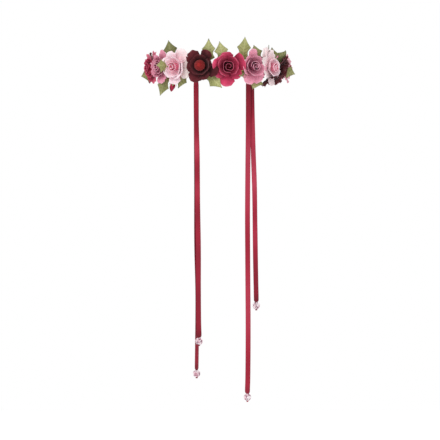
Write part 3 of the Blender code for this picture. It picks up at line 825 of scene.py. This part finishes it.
def inner_petals(name, seed):
    """The standing petals between the outer ones and the rolled middle."""
    luck = random.Random(seed + 50)
    first, count, reach, rise, teeth, rings = INNER_RINGS.get(name, (0, 5, 12.0, 9.0, 0.05, 2))
    petals = []
    for ring, (scale, lift) in enumerate(((1.0, 0.0), (0.70, 1.8))[:rings]):
        for i in range(count - ring):
            petals.append(dict(
                azimuth=first + ring * 37 + i * 360 / (count - ring) + luck.uniform(-12, 12),
                reach=scale * reach * luck.uniform(0.92, 1.08), width=scale * reach * luck.uniform(1.35, 1.6),
                rise=rise + lift + luck.uniform(-0.8, 0.8), cup=luck.uniform(0.7, 0.95), roll=luck.uniform(1.0, 2.0),
                ruffle=0.3 + 4 * teeth, teeth=teeth, sit=2.4, foot=2.0, wrap=0.85, seed=seed + 60 + 10 * ring + i,
                tone=luck.uniform(0.86, 1.04), share=0.0))
    return petals


# How far each rose is tilted about its foot, in degrees to the right and up as seen from outside, and moved along the
# band in mm.
ROSE_TILTS = {
    "rose_01": (0, 4, 0), "rose_02": (12, -2, 0), "rose_03": (6, 0, -1), "rose_04": (0, -5, -5.5),
    "rose_05": (0, 6, -2.0), "rose_06": (0, -2, 0.5), "rose_07": (4, 0, 0.5), "rose_08": (4, 0, 0),
    "rose_09": (-8, -20, 0), "rose_10": (0, 0, 0), "rose_11": (4, -3, 0),
}
# The rolled middles that show: outer radius, turns, squareness and where the roll starts, in degrees.
SWIRLS = {"rose_04": (5.6, 1.9, 0.04, 200), "rose_06": (7.4, 2.1, 0.13, 250), "rose_07": (5.8, 2.1, 0.08, 150)}

ROSE_NAMES = sorted(n[:-4] for n in nodes if n.startswith("rose_") and n.endswith("_bud"))
COLOURS = ("burgundy", "raspberry", "mauve", "pale_pink")


def make_rose(number, name):
    colour = COLOURS[number % len(COLOURS)]
    placing = rose_placing(name)
    palette, bud_palette = PALETTES[colour], BUD_PALETTES[colour]
    shell = Grids()
    faded = CREAM if colour == "pale_pink" else FADED_PINK
    for shape in outer_petals(name, 100 * number) + inner_petals(name, 100 * number):
        add_petal(shell, palette, blend=faded, **shape)
    shell.make(f"{name}_paper_petals", colour, placing, PAPER, replaces=[f"{name}_petals"])
    heart = Grids()
    if colour == "burgundy":
        open_heart = name == "rose_05"
        heart_palette = bud_palette if open_heart else palette
        add_pompon(heart, heart_palette, radius=6.9 if open_heart else 5.0, top=14.5 if open_heart else 9.0)
        heart.make(f"{name}_pleated_bud", colour, placing, replaces=[f"{name}_bud"])
    else:
        outer, turns, square, start = SWIRLS.get(name, (5.4, 2.2, 0.0, 40 * number))
        add_swirl(heart, bud_palette, turns=turns, outer=outer, start=start, square=square, seed=number)
        heart.make(f"{name}_rolled_bud", colour, placing, PAPER, replaces=[f"{name}_bud"])
    make_calyx(name, placing, number)


def make_calyx(name, placing, seed):
    """A green cup on the band with five sepals that hold the rose from behind."""
    cup = Grids()
    turn = turns_round(24)
    radius = np.array((2.3, 2.5, 4.4, 5.6, 5.2))[:, None] * (1 + 0.05 * np.sin(5 * turn))
    height = np.array((-2.7, -1.6, -0.6, 0.3, 1.0))[:, None]
    shade = np.linspace(0, 1, 5)[:, None] + 0 * turn
    cup.add(round_grid(radius, turn, height), mix(srgb(92, 100, 40), srgb(140, 146, 78), shade), around=True)
    for i in range(5):
        grid, t = petal(azimuth=72 * i + 20 * seed, reach=10.0, width=4.6, rise=1.0, foot=3.5, sit=-0.6, cup=0.2,
                        roll=0.0, ruffle=0.25, wrap=0.6, point=0.55, seed=seed * 9 + i, rows=9, columns=7)
        cup.add(grid, mix(SEPAL_DARK, srgb(158, 160, 98), t))
    cup.make(f"{name}_sepals", "calyx", placing, 0.4, replaces=[f"{name}_calyx"])


def make_roses():
    for number, name in enumerate(ROSE_NAMES):
        make_rose(number, name)


make_roses()


# ---- leaves ----


# Leaves that face forwards wherever they stand on the ring.
FACING_FRONT = ("leaf_01", "leaf_14", "leaf_02")
VEIN_SPACING = 4.2
STEM_SIDES = 8
# Place along the blade and half width there, as shares of its length and half width.
LEAF_OUTLINE = (
    (0.00, 0.10), (0.04, 0.34), (0.09, 0.64), (0.15, 0.94), (0.19, 0.86), (0.27, 0.68), (0.36, 0.62), (0.45, 0.72),
    (0.53, 0.90), (0.58, 1.04), (0.62, 0.90), (0.69, 0.66), (0.78, 0.43), (0.88, 0.22), (0.95, 0.08), (1.00, 0.01),
)


def blade_axes(node):
    """Where a CAD blade starts and ends, which way it lies across and faces, and its half width, in mm."""
    points = node_points(node)
    away = np.hypot(np.hypot(points[:, 0], points[:, 1]) - BAND_RADIUS, points[:, 2])
    foot = points[away < away.min() + 0.8].mean(axis=0)
    reach = np.linalg.norm(points - foot, axis=1)
    tip = points[reach > reach.max() - 0.8].mean(axis=0)
    aim = (tip - foot) / np.linalg.norm(tip - foot)
    spread = (points - foot) - np.outer((points - foot) @ aim, aim)
    spread = spread - spread.mean(axis=0)
    _, _, axes = np.linalg.svd(spread, full_matrices=False)
    across = axes[0]
    half = np.abs(spread @ across).max()
    face = np.cross(across, aim)
    outward = np.array((foot[0], foot[1], 0.0))
    if node in FACING_FRONT or abs(face @ outward) < 0.2 * np.linalg.norm(outward):
        outward = np.array((0.0, -1.0, 0.2))
    if face @ outward < 0:
        face, across = -face, -across
    return foot, tip, across, face, half


def add_blade(grids, foot, tip, across, face, half, stem=3.0, fold=0.20, curl=1.2, seed=0, tone=1.0, wide=1.0):
    """A folded, veined, lobed blade and its stem."""
    rows, columns = 46, 23
    length = np.linalg.norm(tip - foot)
    aim = (tip - foot) / length
    t = np.linspace(0.0, 1.0, rows)[:, None]
    u = np.linspace(-1.0, 1.0, columns)[None, :]
    keys, widths = zip(*LEAF_OUTLINE)
    luck = random.Random(seed)
    sides = []
    for _ in range(2):
        shift, scale = luck.uniform(-0.03, 0.04), luck.uniform(0.92, 1.06)
        sides.append(np.interp(np.clip(t + shift * np.sin(math.pi * t), 0, 1), keys, widths) * scale)
    width = np.where(u < 0, sides[0], sides[1]) * half * wide
    x = u * width
    blade = length - stem
    y = stem + t * blade - 0.10 * np.abs(x) * np.sin(math.pi * t)
    slant = t * blade - 0.85 * np.abs(x)
    nearest = np.abs((slant / VEIN_SPACING + 0.5) % 1.0 - 0.5) * VEIN_SPACING
    side_vein = np.exp(-((nearest / 0.42) ** 2))
    side_vein = side_vein * smoothstep(0.0, 0.15, np.abs(u)) * smoothstep(1.0, 0.75, np.abs(u))
    rib = np.exp(-((x / 0.55) ** 2))
    height = -fold * np.abs(x) - 0.30 * side_vein - 0.42 * rib
    height = height + 0.5 * np.sin(2 * math.pi * (t * 1.3 + seed * 0.37)) * u * t
    height = height + 0.45 * np.sin(5 * t * math.pi + seed) * u * u
    height = height - curl * t ** 3 + 0.8 * np.sin(math.pi * t)
    grid = foot + aim * y[..., None] + across * x[..., None] + face * height[..., None]
    grid = grid + face * (0.22 * wander(grid, 3.5, seed))[..., None]
    paint = mix(LEAF_LIGHT, LEAF_DARK, 0.30 + 0.45 * wander(grid, 9.0, seed + 5) + 0.25 * (1 - t))
    paint = mix(paint, LEAF_DARK, 0.55 * side_vein)
    paint = mix(paint, LEAF_RIB, 0.5 * rib)
    # Darker and greyer towards the edges and the tip.
    edge_and_tip = 0.85 * smoothstep(0.86, 1.0, np.abs(u) + 0 * t) + 0.7 * smoothstep(0.9, 1.0, t + 0 * u)
    paint = mix(paint, LEAF_EDGE, edge_and_tip)
    grids.add(grid, paint * tone)
    turns = turns_round(STEM_SIDES)
    lengths = np.linspace(-0.02, 0.16, 6)[:, None] * length + 0 * turns
    size = 0.62 - 0.2 * lengths / length
    stalk = foot + aim * lengths[..., None]
    stalk = stalk + across * (size * np.cos(turns))[..., None] + face * (size * np.sin(turns) - 0.3)[..., None]
    grids.add(stalk, LEAF_RIB * 0.8 * tone, around=True)


def add_stem(grids, start, stop, radius=0.7):
    """A round stem between two places."""
    start, stop = np.array(start, float), np.array(stop, float)
    aim = (stop - start) / np.linalg.norm(stop - start)
    side = np.cross(aim, (0.31, 0.2, 0.93))
    side = side / np.linalg.norm(side)
    turns = turns_round(STEM_SIDES)[..., None]
    share = np.linspace(-0.15, 1.15, 6)[:, None, None]
    skin = radius * (side * np.cos(turns) + np.cross(aim, side) * np.sin(turns))
    grids.add(start + share * (stop - start) + skin, STEM_GREEN, around=True)


# Each leaf's tone, fold, curl, stem length and width beside its CAD blade, and how far it is moved, in mm. The tone
# darkens or lightens the whole blade and is partly painted shade and painted light.
LEAF_LOOKS = {
    "leaf_01": (0.74, 0.05, 0.5, 3, 1.45, (1, -2, -3)),
    "leaf_02": (0.98, 0.1, 0.5, 3, 1.3, (-6, -9, 0.5)),
    "leaf_03": (0.5, 0.2, 1, 5, 1.05, (-1, 0, 0)),
    "leaf_04": (0.64, 0.2, 1, 5, 1.15, (-1.5, 0, -1)),
    "leaf_05": (0.72, 0.2, 1, 3, 1.05, (1.5, 0, 0.5)),
    "leaf_06": (1.02, 0.14, 1.2, 4, 1.05, (-0.5, 0, 0)),
    "leaf_07": (0.98, 0.14, 1.2, 3, 1.1, (0, 0, 0.5)),
    "leaf_08": (1.02, 0.12, 1, 4, 1.1, (1.5, 0, -0.5)),
    "leaf_09": (1.0, 0.12, 1, 4, 0.95, (-0.5, 0, 0)),
    "leaf_10": (0.66, 0.25, 1.5, 3, 1.25, (0.5, 0, 0)),
    "leaf_11": (0.95, 0.15, 1, 3, 1.45, (-4.5, -1, -1)),
    "leaf_12": (0.68, 0.2, 1, 3, 1.4, (1.5, 0, -1)),
    "leaf_13": (0.64, 0.2, 1, 3, 1.55, (4, 0, -1.5)),
    "leaf_14": (0.92, 0.05, 0.5, 3, 1.2, (0, 0, 0.5)),
}


def make_leaves():
    for number, (name, (tone, fold, curl, stem, wide, moved)) in enumerate(LEAF_LOOKS.items()):
        foot, tip, across, face, half = blade_axes(name)
        blade = Grids()
        add_stem(blade, foot, foot + moved)
        add_blade(blade, foot + moved, tip + moved, across, face, half, stem, fold, curl, number + 1, tone, wide)
        blade.make(f"{name}_blade", "leaf", thickness=PAPER, smooth=0, replaces=[name])


make_leaves()


# Pieces that the CAD model lacks: a leaf, a flower and a stem end that fill gaps in the row.
FILLER_LEAF_FOOT = (40.0, -73.0, -5.0)
FILLER_LEAF_TIP = (26.0, -84.0, -12.5)
FILLER_LEAF_ANGLE = math.radians(32.0)
FILLER_FLOWER_ANGLE = math.radians(58.0)
FILLER_FLOWER_RADIUS = 79.5
FILLER_FLOWER_DROP = 12.0
FILLER_FLOWER_TILT = math.radians(70.0)
BARE_STEM_FOOT = (62.0, -47.0, 3.0)
BARE_STEM_RUN = (2.6, -1.0, 25.5)


def make_filler_leaf():
    """A small leaf between two roses."""
    foot, tip = np.array(FILLER_LEAF_FOOT), np.array(FILLER_LEAF_TIP)
    across = np.cross(tip - foot, (0.0, -1.0, 0.3))
    across = -across / np.linalg.norm(across)
    face = np.cross(across, (tip - foot) / np.linalg.norm(tip - foot))
    blade = Grids()
    add_blade(blade, foot, tip, across, face, half=5.6, stem=3.0, fold=0.1, curl=0.6, seed=31, tone=0.92)
    add_stem(blade, band_frame(FILLER_LEAF_ANGLE).translation / MM, foot)
    blade.make("small_filler_leaf", "leaf", thickness=PAPER, smooth=0)


def make_filler_flower():
    """A ragged half-open burgundy flower under the pale pink rose, on its stalk."""
    placing = band_frame(FILLER_FLOWER_ANGLE, FILLER_FLOWER_RADIUS)
    placing = placing @ Matrix.Translation((0.0, -FILLER_FLOWER_DROP * MM, 0.0))
    placing = placing @ Matrix.Rotation(FILLER_FLOWER_TILT, 4, "X")
    flower = Grids()
    for i in range(9):
        ring = i % 2
        add_petal(flower, PALETTES["burgundy"], tone=0.85 + 0.06 * (i % 4), azimuth=i * 80 + 15,
                  reach=16.5 - 5.0 * ring, width=12.5, rise=6.0 + 4.0 * ring, cup=0.4, roll=1.6, ruffle=1.8,
                  teeth=0.18, foot=1.5, sit=1.0, wrap=0.6, seed=400 + i)
    flower.make("burgundy_filler_flower", "burgundy", placing, PAPER)
    stalk = Grids()
    add_stem(stalk, band_frame(FILLER_FLOWER_ANGLE).translation / MM, placing.translation / MM, radius=1.1)
    stalk.make("burgundy_filler_stem", "calyx")


def make_bare_stem():
    """A bare stem that stands up behind the roses."""
    stem = Grids()
    rows, turns = 8, turns_round(STEM_SIDES)
    share = np.linspace(0.0, 1.0, rows)[:, None] + 0 * turns
    path = np.array(BARE_STEM_FOOT) + share[..., None] * np.array(BARE_STEM_RUN)
    path = path + round_grid(0.75 - 0.2 * share, turns, 0.0)
    path[..., 0] += 0.8 * np.sin(3 * share)
    stem.add(path, srgb(118, 124, 104), around=True)
    stem.cap((rows - 1) * STEM_SIDES, STEM_SIDES)
    stem.make("bare_stem_tip", "calyx")


make_filler_leaf()
make_filler_flower()
make_bare_stem()


HANGING_BUD_LENGTH = 13.0
# How far its foot and its tip stand from the CAD bud's, in mm.
HANGING_BUD_FOOT_MOVE = (-2.0, -2.0, 0.0)
HANGING_BUD_TIP_MOVE = (-3.5, -3.0, 0.0)


def make_hanging_bud():
    """A closed bud on a stem, wrapped in two sepals."""
    points = node_points("hanging_rosebud")
    away = np.hypot(np.hypot(points[:, 0], points[:, 1]) - BAND_RADIUS, points[:, 2])
    foot = points[away < away.min() + 0.5].mean(axis=0)
    band = band_frame(math.atan2(foot[0], -foot[1])).translation
    foot = foot + HANGING_BUD_FOOT_MOVE
    reach = np.linalg.norm(points - foot, axis=1)
    tip = points[reach > reach.max() - 0.5].mean(axis=0) + HANGING_BUD_TIP_MOVE
    aim = Vector(tip - foot)
    length = aim.length
    placing = Matrix.Translation(Vector(foot) * MM) @ aim.to_track_quat("Z", "Y").to_matrix().to_4x4()
    bud = Grids()
    colours = BUD_PALETTES["raspberry"]
    v = np.linspace(0.0, 1.0, 16)[:, None]
    turn = turns_round(24)
    start = length - HANGING_BUD_LENGTH
    outline = np.interp(v, (0.0, 0.15, 0.38, 0.62, 0.85, 1.0), (1.4, 2.8, 3.7, 3.3, 1.9, 0.2))
    fold = np.abs(np.sin(1.5 * turn + 4.2 * v))
    size = outline * (0.86 + 0.2 * fold)
    grid = round_grid(size, turn, start + HANGING_BUD_LENGTH * v)
    # Painted shade in the creases between the wrapped petals.
    bud.add(grid, mix(colours[0], colours[1], fold * 1.2), around=True)
    bud.make("hanging_rosebud_petals", "raspberry", placing, replaces=["hanging_rosebud"])
    green = Grids()
    lengths = np.linspace(0.0, start + 0.8, 12)[:, None]
    thick = 0.75 + 0.9 * smoothstep(start - 3.0, start, lengths)
    green.add(round_grid(thick, turns_round(STEM_SIDES), lengths), STEM_GREEN, around=True)
    for i in range(4):
        grid, t = petal(azimuth=90 * i + 30, reach=4.0, width=3.2, rise=5.0, foot=1.2, sit=start - 0.4, cup=0.75,
                        roll=0.9, ruffle=0.2, wrap=0.8, point=0.5, seed=50 + i, rows=9, columns=7)
        green.add(grid, mix(SEPAL_DARK, srgb(150, 152, 100), t))
    add_stem(green, (0.0, 0.0, 0.0), placing.inverted() @ Vector(band) / MM, 0.75)
    green.make("hanging_rosebud_sepals", "calyx", placing, 0.3)


make_hanging_bud()


# ---- stage and light ----


def make_stage():
    """A plain white floor under the hanging ribbons."""
    data = bpy.data.meshes.new("floor")
    corners = ((-1, -1), (1, -1), (1, 1), (-1, 1))
    data.from_pydata([(x * FLOOR_REACH, y * FLOOR_REACH, FLOOR) for x, y in corners], [], [(0, 1, 2, 3)])
    material, _, shader = start_material("floor_paper")
    set_inputs(shader, {"Base Color": (0.95, 0.95, 0.95, 1.0), "Roughness": 0.95})
    data.materials.append(material)
    show("floor", data)


def add_area(name, place, aim, size, power):
    data = bpy.data.lights.new(name, "AREA")
    data.size = size
    data.energy = power
    light = show(name, data)
    light.location = place
    light.rotation_euler = (Vector(aim) - Vector(place)).to_track_quat("-Z", "Y").to_euler()


def make_light():
    world = bpy.data.worlds.new("studio")
    world.use_nodes = True
    set_inputs(world.node_tree.nodes["Background"], {"Color": (1.0, 1.0, 1.0, 1.0), "Strength": 1.0})
    bpy.context.scene.world = world
    add_area("key", KEY_PLACE, LIGHT_AIM, size=1.0, power=30.0)
    add_area("fill", FILL_PLACE, LIGHT_AIM, size=1.6, power=12.0)
    bpy.context.scene.view_settings.view_transform = "Standard"


make_stage()
make_light()
